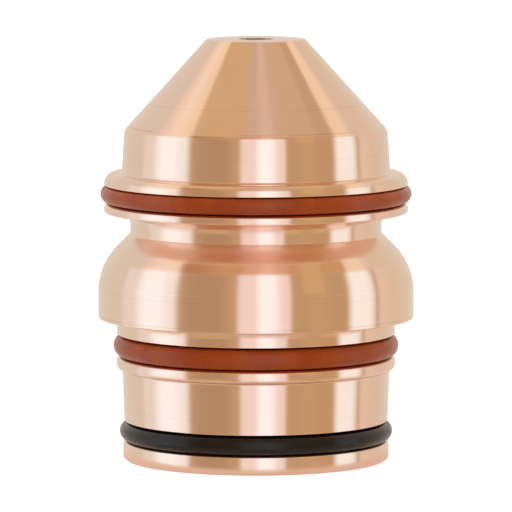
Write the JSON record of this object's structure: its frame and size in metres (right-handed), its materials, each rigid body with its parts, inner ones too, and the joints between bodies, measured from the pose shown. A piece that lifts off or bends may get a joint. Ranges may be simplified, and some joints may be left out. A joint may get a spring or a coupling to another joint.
{
  "type": "plasma torch nozzle",
  "caption": "Turned copper plasma torch nozzle with a cone and orifice at its tip, a flange, a domed bulge, and rubber sealing rings in grooves around its body.",
  "frame": {"origin": "on the axis of turning, in the plane of the base face that the nozzle stands on", "axes": "+Z along the axis of turning, from the base face towards the orifice; X and Y are equal, as the part is round"},
  "size_m": [0.0302, 0.0302, 0.0402],
  "materials": {
    "copper": "fine turned copper, bright",
    "red_silicone": "smooth red-brown silicone",
    "black_rubber": "smooth black rubber, a little greased"
  },
  "bodies": {
    "root": {"nozzle_body": "copper", "front_o_ring": "red_silicone", "middle_o_ring": "red_silicone", "rear_o_ring": "black_rubber"}
  },
  "joints": []
}
